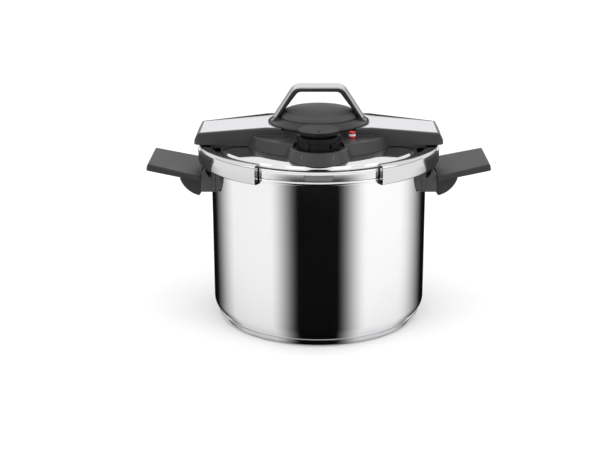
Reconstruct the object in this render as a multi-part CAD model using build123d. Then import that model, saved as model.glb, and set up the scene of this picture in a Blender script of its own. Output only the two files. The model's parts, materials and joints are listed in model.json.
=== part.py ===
"""Stovetop pressure cooker with a twist-to-lock lid: a deep pot, a lid whose two jaws grip the rim,
an arched knob that draws the jaws in and out through a cam, a pressure dial and a pressure indicator.

Frame: millimetres, +Z up, origin at the centre of the pot's underside, +X through the two pot handles,
-Y towards the dial. The cooker is drawn closed and locked.
"""

from build123d import *
from math import atan2, cos, pi, sin, sqrt
import os

# ---- clearances -------------------------------------------------------------------------------------
FIT = 0.1        # pieces that seat in one another, per side
RUN = 0.08       # shafts and rails that pieces turn or slide on
SLIDE = 0.3      # pieces that move past one another
SEAT = 0.2       # silicone seal above the metal that it closes on

# ---- pot --------------------------------------------------------------------------------------------
POT_R = 110.0            # inside radius
POT_WALL = 1.0
POT_DEPTH = 165.0        # inside floor to rim top
POT_CORNER = 9.0         # inside radius between floor and wall
BASE_H = 6.6             # sandwich base under the pot's floor
BASE_SKIN = 0.8
BASE_R = 103.0           # flat foot
RIM_W = 7.0              # rolled rim, from the inside wall outwards
RIM_H = 3.9
RIM_SHEET = 1.2

# ---- lid --------------------------------------------------------------------------------------------
LID_T = 1.2
SKIRT_H = 9.2            # rim of the lid, from its lower edge to its flat top
SKIRT_ROUND = 2.6
STEP_IN = 13.0           # outer edge of the lid to the raised step
STEP_H = 2.2
PLATEAU_IN = 14.0        # the step to the flat middle
PLATEAU_H = 2.0
WINDOW_W = 28.0          # slot in the lid's rim where the gasket can blow out
WINDOW_H = 6.2
WINDOW_UP = 0.5          # lower edge of the slot above the rim's lower edge
GASKET_W = 15.0
GASKET_LIP = 2.2

# ---- jaws -------------------------------------------------------------------------------------------
JAW_T = 1.6
JAW_OUT = 7.0            # outside of the jaws beyond the rim
JAW_HALF = 60.4          # half the arc of each jaw, degrees
JAW_LIP_IN = 3.5         # how far the lower lip reaches under the rim
JAW_TOP_IN = 3.0         # how far the upper lip reaches over the lid
JAW_ROUND = 2.4
JAW_OVER = 2.3           # upper lip of the metal above the lid's edge; the lining fills it
LINING_IN = 0.8          # how far the lining reaches past the upper lip
NOTCH_HALF = 31.0        # half the arc of the black grip in each jaw, degrees
NOTCH_TOP = 6.0          # metal left above the grip
JAW_END = 0.65           # each end of the channel is closed by metal this thick, in degrees of arc
JAW_CLEAR = 1.6          # lining and ends to the lid's rim
JAW_TRAVEL = 12.0        # each jaw, locked to open
KNOB_TURN = 90.0         # degrees that open both jaws

# ---- jaw arms, cam, guide plate ---------------------------------------------------------------------
PLATE_T = 1.2
PLATE_R = 50.0
ARM_W = 30.0
ARM_T = 1.5
ARM_IN = 9.5             # inner end of each arm, locked
JOGGLE = 5.5             # length of the arm's bend down to its jaw
JOGGLE_IN = 14.0         # start of the bend, inwards from the rim
PIN_R = 2.5
PIN_AT = 16.0            # follower pin from the axis, locked
CAM_R = 36.0
CAM_T = 1.8
RAIL_T = 1.5
SPINDLE_R = 5.0
HUB_R = 13.0
HUB_HEX = 18.0           # across flats, the knob's drive into the cam
RIVET_R = 2.0
RIVET_Y = 8.0
RIVET_HEAD = 0.5

# ---- housing ----------------------------------------------------------------------------------------
SHELL = 2.5
STANDOFF_R = 3.5         # guide plate's posts
SCREW_HOLE = 1.9
CUT = 90.0               # longer than any piece that is cut with it
BAR_TAPER = 3.0          # lean of the bar's sides, degrees
BAR_FOOT = 3.5           # upright part of the bar's ends
BAR_LIFT = 0.8           # lower edge of the bar above the lid's flat middle
BAR_OVER = 2.5           # bar's end beyond the jaws
BAR_END_W = 58.0         # width at the ends
BAR_MID_W = 73.0         # width beside the knob
BAR_END_H = 11.7         # height of the ends
BAR_RISE = 7.0           # from the ends up to the knob
BAR_NOSE = 4.5           # slope of the ends, along X
BAR_EDGE = 1.6           # rounding along the bar's upper edges
DECK_R = 79.5
DECK_H = 11.9
MOULD_EDGE = 0.9         # rounding of deck, pod and dial edges
DRAFT = 3.5              # taper of the deck's wall over its height
POD_DRAFT = 4.4
POD_R = 33.0
POD_LOW = 1.8            # top of the pod below the deck
POD_RIM = 3.8            # width of the pod's rim round the dial
WELL_FLOOR = 16.9        # floor under the knob, above the lid's flat middle
BOSS_R = 47.0
TRIM_T = 1.0
TRIM_EDGE = 2.4          # black border beside each trim plate

# ---- knob -------------------------------------------------------------------------------------------
KNOB_R = 50.0
KNOB_GAP = 1.2           # round the saucer, to the housing
KNOB_SOFT = 1.3          # rounding along the arch
KNOB_EDGE = 3.0          # upright edge of the saucer
BEAD = 0.8               # bevel on the saucer's upright edge
SAUCER_RISE = 4.2
CAP_R = 39.8
CAP_H = 8.5
ARCH_H = 35.8            # top of the arch above the saucer's edge
ARCH_TOP = 25.4          # half width of the arch where its sides meet its top
ARCH_FOOT = 48.6
ARCH_W = 24.0
ARCH_T = 4.9             # thickness over the fingers
ARCH_IN_TOP = 20.9
ARCH_TRIM = 1.3

# ---- dial, valve and indicator ----------------------------------------------------------------------
DIAL_R = 21.5
DIAL_CAP_R = 20.4
DIAL_H = 13.0
DIAL_CAP_H = 4.6
DIAL_NECK = 1.6
LINE_W, LINE_L = 1.4, 8.0    # index line on the dial's cap
DIAL_BACK = 1.6          # dial's cap to the knob's edge
RECESS = 4.0
POINTER_AT = -120.6      # degrees about the dial's axis, at rest
NOZZLE_R = 3.0
WEIGHT_R = 8.5
WEIGHT_LIFT = 1.5
SPRING_WIRE = 0.8
INDICATOR_OUT = 5.64      # indicator's centre beyond the knob's edge
INDICATOR_AT = -53.11    # degrees round from +X
INDICATOR_R = 3.4
INDICATOR_UP = 6.3       # showing above the deck
INDICATOR_DROP = 6.0
RELIEF_Y = 60.0
RELIEF_LIFT = 2.0
STUD_R = 5.9             # threaded neck of the valves through the lid
SEAL_T = 1.0
SEAL_R = 8.5
NUT_T = 2.4
STUD_HEX = 13.0          # across flats
NUT_HEX = 16.0

# ---- pot handles ------------------------------------------------------------------------------------
GRIP_TIP_W = 69.0        # width at the outer end
GRIP_ROOT_W = 79.0       # width at the pot
GRIP_OUT = 64.0          # pot's outside wall to the handle's end
GRIP_TIP_T = 6.8         # thickness at the outer end
GRIP_ROOT_T = 5.2
GRIP_DROP = 4.1          # handle's outer end below the pot's rim
GRIP_SLOPE = 11.9        # fall from the outer to the inner end
GRIP_SOFT = 1.8          # rounding of the handle's upper edges
HANDLE_SCREW_IN = 10.0   # handle's inner end to its screw
GUARD_OUT = 9.0          # pot's outside wall to the handle
GUARD_H = 15.2
GUARD_W = 68.0
GUARD_DROP = 2.4         # heat guard below the handle's inner edge
FLANGE_T = 2.8           # heat guard's flange round the pot's wall
FLANGE_W = 74.0
FLANGE_H = 20.5
HEEL_D = 22.1            # heel under the handle's inner end
HEEL_L = 21.0
HEEL_W = 66.0
HEEL_BELLY = (13.5, 6.0)  # a point on the heel's curve, from its inner lower corner
BRACKET_T = 1.2
BRACKET_H = 9.0
BRACKET_HALF = 16.0      # welded flange, half its arc in degrees
TONGUE_W = 30.0
TONGUE_L = 24.0
SCREW_R = 2.4

# ---- heights and radii worked out from the sizes above ----------------------------------------------
POT_OUT = POT_R + POT_WALL
RIM_R = POT_R + RIM_W
RIM_Z = BASE_H + POT_WALL + POT_DEPTH
LID_LOW = RIM_Z + SLIDE
LID_EDGE_Z = LID_LOW + SKIRT_H
STEP_R = RIM_R - STEP_IN
PLATEAU_R = STEP_R - PLATEAU_IN
TOP = LID_EDGE_Z + STEP_H + PLATEAU_H      # the lid's flat middle
UNDER = TOP - LID_T
JAW_R = RIM_R + JAW_OUT
JAW_TOP_Z = LID_EDGE_Z + JAW_OVER + JAW_T
JAW_LOW_Z = RIM_Z - RIM_H - SLIDE - JAW_T
PLATE_Z = TOP + PLATE_T
ARM_Z = PLATE_Z + SLIDE
CAM_Z = ARM_Z + ARM_T + 0.4
RAIL_TOP = CAM_Z - 0.2
BAR_Z = TOP + BAR_LIFT
BAR_HALF = JAW_R + BAR_OVER
DECK_Z = TOP + DECK_H
WELL_Z = TOP + WELL_FLOOR
KNOB_Z = WELL_Z + 0.6
SAUCER_Z = KNOB_Z + KNOB_EDGE
CAP_Z = SAUCER_Z + SAUCER_RISE
DIAL_Y = -(KNOB_R + DIAL_BACK + DIAL_CAP_R)
DIAL_Z = DECK_Z - RECESS + 0.5
INDICATOR_X = (KNOB_R + INDICATOR_OUT) * cos(INDICATOR_AT * pi / 180)
INDICATOR_Y = (KNOB_R + INDICATOR_OUT) * sin(INDICATOR_AT * pi / 180)
GRIP_TOP = RIM_Z - GRIP_DROP
GRIP_END = POT_OUT + GRIP_OUT
GRIP_IN = POT_OUT + GUARD_OUT
GUARD_Z = GRIP_TOP - GRIP_SLOPE - GUARD_DROP
TONGUE_Z = GUARD_Z - GUARD_H / 2

OUT = "parts"
MIN_Z = (Align.CENTER, Align.CENTER, Align.MIN)


# ---- shapes used by many pieces ---------------------------------------------------------------------
def rod(radius, low, high, x=0.0, y=0.0):
    return Pos(x, y, low) * Cylinder(radius, high - low, align=MIN_Z)


def tube(outer, inner, low, high, x=0.0, y=0.0):
    return rod(outer, low, high, x, y) - rod(inner, low - 1, high + 1, x, y)


def cone(low_r, high_r, low, high, x=0.0, y=0.0):
    return Pos(x, y, low) * Cone(low_r, high_r, high - low, align=MIN_Z)


def hexagon(flats, low, high, x=0.0, y=0.0):
    return Pos(x, y, low) * extrude(RegularPolygon(flats / 2, 6, major_radius=False), high - low)


def slab(x0, x1, y0, y1, z0, z1):
    return Pos(x0, y0, z0) * Box(x1 - x0, y1 - y0, z1 - z0, align=(Align.MIN, Align.MIN, Align.MIN))


def side_face(*points):
    """A flat face in the XZ plane from (x, z) points."""
    return Plane.XZ * make_face(Polyline(*points, close=True))


def turned(*points, arc=360.0):
    """A solid of revolution about Z from (radius, z) points."""
    return revolve(side_face(*points), Axis.Z, revolution_arc=arc)


def turned_face(face, arc=360.0):
    return revolve(Plane.XZ * face, Axis.Z, revolution_arc=arc)


def across(face, width):
    """A face in the XZ plane made width wide, centred on Y = 0."""
    return extrude(face, width / 2, both=True)


def both_sides(shape):
    return shape + mirror(shape, about=Plane.YZ)


def rounded(face, radius, *corners):
    """face with the corners nearest the given (x, z) points rounded."""
    near = [min(face.vertices(), key=lambda v, c=c: (v.X - c[0]) ** 2 + (v.Y - c[1]) ** 2) for c in corners]
    return fillet(near, radius)


def coil(radius, wire, low, high, turns, x=0.0, y=0.0):
    """An open-coiled spring, its ends inside low and high."""
    height = high - low - wire
    path = Pos(x, y, low + wire / 2) * Helix(height / turns, height, radius)
    return sweep(Plane(origin=path @ 0, z_dir=path % 0) * Circle(wire / 2), path=path, is_frenet=True)


# ---- pot --------------------------------------------------------------------------------------------
def pot_shell():
    low, floor = BASE_H, BASE_H + POT_WALL
    hem_z = RIM_Z - RIM_H
    heel_r = BASE_R + 4.6
    outline = [
        Line((0, low), (heel_r - 1.2, low)),
        Line((heel_r - 1.2, low), (heel_r, low + 0.5)),
        ThreePointArc((heel_r, low + 0.5), (POT_OUT - 0.9, low + 5.4), (POT_OUT, low + 13.4)),
        Line((POT_OUT, low + 13.4), (POT_OUT, RIM_Z - RIM_SHEET)),
        Line((POT_OUT, RIM_Z - RIM_SHEET), (RIM_R - RIM_SHEET, RIM_Z - RIM_SHEET)),
        Line((RIM_R - RIM_SHEET, RIM_Z - RIM_SHEET), (RIM_R - RIM_SHEET, hem_z + RIM_SHEET)),
        Line((RIM_R - RIM_SHEET, hem_z + RIM_SHEET), (POT_OUT + 2.2, hem_z + RIM_SHEET)),
        Line((POT_OUT + 2.2, hem_z + RIM_SHEET), (POT_OUT + 2.2, hem_z)),
        Line((POT_OUT + 2.2, hem_z), (RIM_R, hem_z)),
        Line((RIM_R, hem_z), (RIM_R, RIM_Z)),
        Line((RIM_R, RIM_Z), (POT_R, RIM_Z)),
        Line((POT_R, RIM_Z), (POT_R, floor)),
        Line((POT_R, floor), (0, floor)),
        Line((0, floor), (0, low)),
    ]
    face = make_face(outline)
    face = rounded(face, 1.0, (RIM_R, hem_z), (RIM_R, RIM_Z))
    face = rounded(face, POT_CORNER, (POT_R, floor))
    return turned_face(face)


def base_outline(grow):
    """Outline of the base, its skin's outer face pulled in by grow."""
    top_r = BASE_R + 4.1 - grow
    return make_face([
        Line((0, grow), (BASE_R - grow * 0.5, grow)),
        ThreePointArc((BASE_R - grow * 0.5, grow), (BASE_R + 2.4 - grow * 0.9, 1.9 + grow * 0.4), (top_r, BASE_H)),
        Line((top_r, BASE_H), (0, BASE_H)),
        Line((0, BASE_H), (0, grow)),
    ])


def base_core():
    return turned_face(base_outline(BASE_SKIN))


def base_cap():
    return turned_face(base_outline(0.0)) - base_core()


# ---- pot handles, drawn on the +X side --------------------------------------------------------------
def blade():
    """The handle's flat part: it rises outwards, narrows outwards and has soft edges."""
    drop, end = GRIP_TOP - GRIP_SLOPE, GRIP_END - 1.5
    side = side_face((GRIP_IN, drop), (end, GRIP_TOP), (GRIP_END, GRIP_TOP - GRIP_TIP_T),
                     (GRIP_IN + HEEL_L, drop - GRIP_ROOT_T + 4.0), (GRIP_IN, drop - GRIP_ROOT_T))
    tip, root = GRIP_TIP_W / 2, GRIP_ROOT_W / 2
    plan = make_face(Polyline((GRIP_IN, root), (GRIP_END, tip), (GRIP_END, -tip), (GRIP_IN, -root), close=True))
    plan = rounded(plan, 3.5, (GRIP_END, tip), (GRIP_END, -tip))
    body = across(side, GRIP_ROOT_W) & extrude(Pos(0, 0, drop - HEEL_D) * plan, 3 * HEEL_D)
    upper = max(body.faces(), key=lambda f: f.area)
    return fillet([e for e in upper.edges() if e.center().X > GRIP_IN + 1.0], GRIP_SOFT)


def heel():
    """The finger guard under the handle's inner end."""
    drop = GRIP_TOP - GRIP_SLOPE
    low = drop - HEEL_D
    face = make_face([
        Line((GRIP_IN, drop - 3), (GRIP_IN, low + 3)),
        Line((GRIP_IN, low + 3), (GRIP_IN + 2.2, low)),
        ThreePointArc((GRIP_IN + 2.2, low), (GRIP_IN + HEEL_BELLY[0], low + HEEL_BELLY[1]),
                      (GRIP_IN + HEEL_L, drop - GRIP_ROOT_T)),
        Line((GRIP_IN + HEEL_L, drop - GRIP_ROOT_T), (GRIP_IN + HEEL_L, drop + 1.5)),
        Line((GRIP_IN + HEEL_L, drop + 1.5), (GRIP_IN, drop - 3)),
    ])
    body = across(Plane.XZ * face, HEEL_W)
    curved = [e for e in body.edges() if e.geom_type == GeomType.CIRCLE]
    return fillet(curved, 2.0)


def tongue_slot(grow):
    low, high = TONGUE_Z - BRACKET_T / 2 - grow, TONGUE_Z + BRACKET_T / 2 + grow
    half = TONGUE_W / 2 + grow
    return slab(POT_OUT + 0.5, POT_OUT + TONGUE_L + grow, -half, half, low, high)


def screw_x():
    return GRIP_IN + HANDLE_SCREW_IN


def pot_handle():
    body = blade() + heel() - tongue_slot(FIT)
    body -= rod(SCREW_R + FIT, GUARD_Z - HEEL_D * 2, TONGUE_Z + 6, screw_x())
    return body - rod(SCREW_R * 1.9 + FIT, GUARD_Z - HEEL_D * 2, TONGUE_Z - 5, screw_x())


def handle_screw():
    z, x = TONGUE_Z, screw_x()
    screw = rod(SCREW_R, z - 6, z + 5.5, x) + rod(SCREW_R * 1.9, z - 8, z - 5.2, x)
    return screw - slab(x - 3, x + 3, -0.6, 0.6, z - 9, z - 7)


def bracket_flange(grow):
    low, high = TONGUE_Z - BRACKET_H / 2 - grow, TONGUE_Z + BRACKET_H / 2 + grow
    half = BRACKET_HALF + grow
    return Rot(0, 0, -half) * turned((POT_OUT, low), (POT_OUT + BRACKET_T + grow, low),
                                     (POT_OUT + BRACKET_T + grow, high), (POT_OUT, high), arc=2 * half)


def handle_bracket():
    """Flange welded to the wall, and the tongue that carries the handle."""
    tongue = tongue_slot(0.0) - rod(POT_OUT + 0.5, TONGUE_Z - 9, TONGUE_Z + 9)
    tongue -= rod(SCREW_R, TONGUE_Z - 9, TONGUE_Z + 9, screw_x())
    return bracket_flange(0.0) + tongue


def handle_guard():
    """Heat guard: a block between wall and handle, a flange round the wall, cheeks beside the handle's root."""
    low, high = GUARD_Z - GUARD_H, GUARD_Z
    wall = POT_OUT + FIT
    block = slab(POT_OUT - 20, GRIP_IN - FIT, -GUARD_W / 2, GUARD_W / 2, low, high)
    cheek = side_face((GRIP_IN - 9.5, high - 1), (GRIP_IN - FIT, high - 1), (GRIP_IN - FIT, high + 1.8),
                      (GRIP_IN - 4, high + 7.5))
    cheeks = across(cheek, GUARD_W) - slab(POT_OUT - 20, GRIP_IN, -20, 20, high, high + 20)
    middle = (high + low) / 2 + 4.4
    plate = Plane(origin=(POT_OUT / 2, 0, middle), x_dir=(0, 1, 0), z_dir=(1, 0, 0))
    flange = extrude(plate * RectangleRounded(FLANGE_W, FLANGE_H, 5.0), POT_OUT)
    flange = flange & rod(wall + FLANGE_T, low - 20, high + 20)
    guard = block + cheeks + flange - rod(wall, low - 20, high + 20)
    return guard - tongue_slot(FIT) - bracket_flange(FIT)


# ---- lid --------------------------------------------------------------------------------------------
def lid_section():
    """Half section of the pressed lid: flat middle, slope, step, flat edge, rounded skirt, curled hem."""
    mid_z = TOP - PLATEAU_H
    outer = [(0, TOP), (PLATEAU_R, TOP), (STEP_R, mid_z), (STEP_R + 1.6, LID_EDGE_Z), (RIM_R, LID_EDGE_Z),
             (RIM_R, LID_LOW), (RIM_R - LID_T - 1.2, LID_LOW), (RIM_R - LID_T - 1.2, LID_LOW + 1.0),
             (RIM_R - LID_T, LID_LOW + 1.0)]
    inner = [(RIM_R - LID_T, LID_EDGE_Z - LID_T), (STEP_R + 0.6, LID_EDGE_Z - LID_T),
             (STEP_R - 0.9, mid_z - LID_T), (PLATEAU_R, UNDER), (0, UNDER)]
    face = make_face(Polyline(*outer, *inner, close=True))
    face = rounded(face, SKIRT_ROUND, (RIM_R, LID_EDGE_Z))
    face = rounded(face, SKIRT_ROUND - LID_T, (RIM_R - LID_T, LID_EDGE_Z - LID_T))
    face = rounded(face, 0.8, (STEP_R, mid_z), (STEP_R + 1.6, LID_EDGE_Z))
    return rounded(face, 60.0, (PLATEAU_R, TOP), (PLATEAU_R, UNDER))


def lid_envelope(gap):
    """Everything below the lid's upper face, raised by gap: what rests on the lid is cut back to it."""
    mid_z = TOP - PLATEAU_H
    face = make_face(Polyline((0, TOP + gap), (PLATEAU_R, TOP + gap), (STEP_R + gap, mid_z + gap),
                              (RIM_R + 20, mid_z + gap), (RIM_R + 20, mid_z - 30), (0, mid_z - 30), close=True))
    return turned_face(rounded(face, 60.0, (PLATEAU_R, TOP + gap)))


def lid_pan():
    lid = turned_face(lid_section())
    lid -= rod(SPINDLE_R + FIT, UNDER - 5, TOP + 5)
    lid -= rod(STUD_R + FIT, UNDER - 5, TOP + 5, 0, DIAL_Y)
    lid -= rod(STUD_R + FIT, UNDER - 5, TOP + 5, 0, RELIEF_Y)
    lid -= rod(INDICATOR_R + 1.6, UNDER - 5, TOP + 5, INDICATOR_X, INDICATOR_Y)
    low = LID_LOW + WINDOW_UP
    return lid - slab(-WINDOW_W / 2, WINDOW_W / 2, -RIM_R - 5, -RIM_R + 6, low, low + WINDOW_H)


def gasket():
    """Lip seal: a ring with an inward channel, which steam presses open against lid and rim."""
    r = RIM_R - LID_T - FIT
    low, high = RIM_Z + SEAT, LID_EDGE_Z - LID_T - FIT
    hem_r, hem_z = RIM_R - LID_T - 1.2 - FIT, LID_LOW + 1.0 + FIT
    face = make_face(Polyline(
        (hem_r, low), (hem_r, hem_z), (r, hem_z), (r, high), (r - GASKET_W + 3, high),
        (r - GASKET_W + 3, high - GASKET_LIP), (r - 3.4, high - GASKET_LIP), (r - 3.4, low + GASKET_LIP),
        (r - GASKET_W, low + GASKET_LIP * 0.7), (r - GASKET_W, low + 0.4), (POT_R + 2, low), close=True))
    face = rounded(face, 1.4, (r, high))
    face = rounded(face, 0.9, (r - 3.4, high - GASKET_LIP), (r - 3.4, low + GASKET_LIP))
    return turned_face(face)


# ---- locking mechanism ------------------------------------------------------------------------------
def standoffs():
    """Centres of the four screws that hold the housing to the guide plate."""
    r = (CAM_R + PLATE_R) / 2
    return [(r * cos(pi * a / 180), r * sin(pi * a / 180)) for a in (60, 120, 240, 300)]


def guide_plate():
    plate = rod(PLATE_R, TOP, PLATE_Z) - rod(SPINDLE_R + FIT, TOP - 1, PLATE_Z + 1)
    half = ARM_W / 2 + RUN
    length = sqrt(PLATE_R ** 2 - (half + RAIL_T) ** 2) - 2.0
    for side in (1, -1):
        y0, y1 = sorted((side * half, side * (half + RAIL_T)))
        plate += slab(-length, length, y0, y1, PLATE_Z - 0.5, RAIL_TOP)
    for x, y in standoffs():
        plate += rod(STANDOFF_R, PLATE_Z - 0.5, TOP + 8.5, x, y)
        plate -= rod(SCREW_HOLE, TOP + 0.4, TOP + 9, x, y)
    return plate - rod(INDICATOR_R + 3.6, TOP - 1, PLATE_Z + 1, INDICATOR_X, INDICATOR_Y)


def housing_screws():
    screws = Part()
    for x, y in standoffs():
        screw = rod(SCREW_HOLE - RUN, TOP + 1, WELL_Z - 2.0, x, y)
        screw += rod(STANDOFF_R, WELL_Z - 2.2, WELL_Z - 0.3, x, y)
        screws += screw - slab(x - 2.5, x + 2.5, y - 0.4, y + 0.4, WELL_Z - 1.0, WELL_Z)
    return screws


def spindle():
    """Centre bolt of the lid, which carries the cam and the knob."""
    low = UNDER - SEAL_T
    bolt = rod(SEAL_R, low - NUT_T, low) + rod(SPINDLE_R, low - 0.1, CAP_Z - 2.0)
    return bolt


def spindle_seal():
    return tube(SEAL_R, SPINDLE_R + FIT, UNDER - SEAL_T, UNDER)


def spindle_nut():
    return hexagon(14.0, PLATE_Z, PLATE_Z + 2.0) - rod(SPINDLE_R, PLATE_Z - 1, PLATE_Z + 3)


def slot_side(offset, start):
    """One side of a cam slot: points beside the spiral that the follower pin runs in."""
    turn = KNOB_TURN * pi / 180
    points = []
    for i in range(13):
        t = turn * i / 12
        r, a = PIN_AT + JAW_TRAVEL * t / turn, start - t
        slope = atan2(-r, JAW_TRAVEL / turn)          # heading of the spiral, from the radius
        nx, ny = -sin(slope), cos(slope)
        px, py = r + offset * nx, offset * ny
        points.append((px * cos(a) - py * sin(a), px * sin(a) + py * cos(a)))
    return points


def cam_slot(start):
    half = PIN_R + SLIDE
    inner, outer = slot_side(-half, start), slot_side(half, start)
    turn = KNOB_TURN * pi / 180
    ends = [(PIN_AT, start), (PIN_AT + JAW_TRAVEL, start - turn)]
    slot = make_face([Spline(*inner), Line(inner[-1], outer[-1]), Spline(*outer), Line(outer[0], inner[0])])
    body = Pos(0, 0, CAM_Z - 1) * extrude(slot, CAM_T + 2)
    for r, a in ends:
        body += rod(half, CAM_Z - 1, CAM_Z + CAM_T + 1, r * cos(a), r * sin(a))
    return body


def cam_disc():
    disc = rod(CAM_R, CAM_Z, CAM_Z + CAM_T) - hexagon(HUB_HEX + 2 * FIT, CAM_Z - 1, CAM_Z + CAM_T + 1)
    return disc - cam_slot(0.0) - cam_slot(pi)


# ---- jaws, drawn on the +X side ---------------------------------------------------------------------
def jaw_band():
    lip, top_in = RIM_R - JAW_LIP_IN, RIM_R - JAW_TOP_IN
    wall = JAW_R - JAW_T
    face = make_face(Polyline(
        (top_in, JAW_TOP_Z), (JAW_R, JAW_TOP_Z), (JAW_R, JAW_LOW_Z), (lip, JAW_LOW_Z),
        (lip, JAW_LOW_Z + JAW_T), (wall, JAW_LOW_Z + JAW_T), (wall, JAW_TOP_Z - JAW_T),
        (top_in, JAW_TOP_Z - JAW_T), close=True))
    face = rounded(face, JAW_ROUND, (JAW_R, JAW_TOP_Z), (JAW_R, JAW_LOW_Z))
    face = rounded(face, JAW_ROUND - JAW_T, (wall, JAW_LOW_Z + JAW_T), (wall, JAW_TOP_Z - JAW_T))
    band = Rot(0, 0, -JAW_HALF) * turned_face(face, arc=2 * JAW_HALF)
    bury = JAW_T / 2
    end = turned((RIM_R + JAW_CLEAR, JAW_LOW_Z + bury), (JAW_R - bury, JAW_LOW_Z + bury),
                 (JAW_R - bury, JAW_TOP_Z - bury), (RIM_R + JAW_CLEAR, JAW_TOP_Z - bury), arc=JAW_END)
    band += Rot(0, 0, -JAW_HALF) * end + Rot(0, 0, JAW_HALF - JAW_END) * end
    notch_z = JAW_TOP_Z - NOTCH_TOP
    notch = Rot(0, 0, -NOTCH_HALF) * turned(
        (lip - 3, JAW_LOW_Z - 2), (JAW_R + 3, JAW_LOW_Z - 2), (JAW_R + 3, notch_z), (lip - 3, notch_z),
        arc=2 * NOTCH_HALF)
    band -= notch
    for y in (-RIVET_Y, RIVET_Y):
        band -= rod(RIVET_R, JAW_TOP_Z - 4, JAW_TOP_Z + 2, rivet_x(), y)
    return band


def rivet_x():
    return RIM_R + 1.0


def jaw_insert():
    """Black moulding that lines the jaw, lies on the lid's edge and fills the notch in the jaw's middle."""
    inner, wall = RIM_R + JAW_CLEAR, JAW_R - JAW_T - FIT
    low, high = JAW_LOW_Z + JAW_T + FIT, JAW_TOP_Z - JAW_T - FIT
    lip_r, lip_z = RIM_R - JAW_TOP_IN - LINING_IN, LID_EDGE_Z + SLIDE
    half = JAW_HALF - JAW_END - FIT
    section = make_face(Polyline((inner, low), (wall, low), (wall, high), (lip_r, high), (lip_r, lip_z),
                                 (inner, lip_z), close=True))
    section = rounded(section, JAW_ROUND - JAW_T, (wall, low), (wall, high))
    liner = Rot(0, 0, -half) * turned_face(section, arc=2 * half)
    notch_z = JAW_TOP_Z - NOTCH_TOP - FIT
    angle = NOTCH_HALF - 0.1
    grip = Rot(0, 0, -angle) * turned((wall - 1.5, low), (JAW_R + 0.3, low), (JAW_R + 0.3, notch_z),
                                      (wall - 1.5, notch_z), arc=2 * angle)
    scoop = Pos(JAW_R, 0, low - 62) * Rot(0, 90, 0) * Cylinder(66, 40)
    foot = slab(joggle_x(), JAW_R, -ARM_W / 2 - SLIDE, ARM_W / 2 + SLIDE, lip_z - 1, JAW_TOP_Z)
    return liner + grip - scoop - foot


def joggle_x():
    return RIM_R - JOGGLE_IN


def foot_z():
    """Underside of the arm's foot, which lies under the jaw's upper lip."""
    return JAW_TOP_Z - JAW_T - ARM_T


def jaw_arm():
    x0, x1 = joggle_x(), joggle_x() + JOGGLE
    end = JAW_R - 2.6
    foot = foot_z()
    face = side_face((ARM_IN, ARM_Z), (x0, ARM_Z), (x1, foot), (end, foot), (end, foot + ARM_T),
                     (x1 + 0.5, foot + ARM_T), (x0 + 0.5, ARM_Z + ARM_T), (ARM_IN, ARM_Z + ARM_T))
    arm = across(face, ARM_W)
    arm -= rod(PIN_R - 0.5, ARM_Z - 1, ARM_Z + ARM_T + 1, PIN_AT)
    for y in (-RIVET_Y, RIVET_Y):
        arm -= rod(RIVET_R, foot - 1, foot + ARM_T + 1, rivet_x(), y)
    return arm


def follower_pin():
    return rod(PIN_R - 0.5, ARM_Z, ARM_Z + ARM_T, PIN_AT) + rod(PIN_R, ARM_Z + ARM_T, CAM_Z + CAM_T, PIN_AT)


def jaw_rivets():
    rivets = Part()
    for y in (-RIVET_Y, RIVET_Y):
        rivets += rod(RIVET_R, foot_z(), JAW_TOP_Z, rivet_x(), y)
        rivets += cone(RIVET_R + 1.0, RIVET_R, JAW_TOP_Z, JAW_TOP_Z + RIVET_HEAD, rivet_x(), y)
    return rivets


# ---- housing ----------------------------------------------------------------------------------------
def bar_top(x):
    """Height of the bar's upper face at a distance x from the axis."""
    end_x, knob_x = BAR_HALF - BAR_NOSE, KNOB_R + 3.5
    t = (end_x - abs(x)) / (end_x - knob_x)
    return BAR_Z + BAR_END_H + BAR_RISE * min(max(t, 0.0), 1.0)


def bar_plan(inset, radius):
    end, mid = BAR_END_W / 2 - inset, BAR_MID_W / 2 - inset
    x_end, x_mid = BAR_HALF - inset, KNOB_R - 5
    points = [(x_end, end), (x_mid, mid), (-x_mid, mid), (-x_end, end),
              (-x_end, -end), (-x_mid, -mid), (x_mid, -mid), (x_end, -end)]
    plan = make_face(Polyline(*points, close=True))
    return rounded(plan, radius, (x_end, end), (-x_end, end), (-x_end, -end), (x_end, -end))


def bar_body(inset, low, soft=0.0):
    """The bar across the lid, its outside pulled in by inset, from the height low upwards."""
    end_x, knob_x = BAR_HALF - BAR_NOSE, KNOB_R + 3.5
    side = side_face(
        (BAR_HALF - inset, low), (BAR_HALF - inset, BAR_Z + BAR_FOOT), (end_x - inset, bar_top(end_x) - inset),
        (knob_x, bar_top(knob_x) - inset), (-knob_x, bar_top(knob_x) - inset),
        (inset - end_x, bar_top(end_x) - inset), (inset - BAR_HALF, BAR_Z + BAR_FOOT), (inset - BAR_HALF, low))
    body = Pos(0, 0, low) * extrude(bar_plan(inset, 6.0 - inset), CUT / 2, taper=BAR_TAPER)
    body = body & across(side, CUT)
    if not soft:
        return body
    return fillet([e for e in body.edges() if e.center().Z > BAR_Z + 6.0 and abs(e.center().X) > 1.0
                   and (abs(e.center().Y) > BAR_END_W / 4 or abs(e.center().X) > end_x - 0.5)], soft)


def drafted(radius, draft, low, high, soft, x=0.0, y=0.0):
    """A drafted boss with its upper edge rounded."""
    face = make_face(Polyline((0, low), (radius + draft * 0.4, low), (radius - draft, high), (0, high), close=True))
    return Pos(x, y, 0) * turned_face(rounded(face, soft, (radius - draft, high)))


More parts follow.
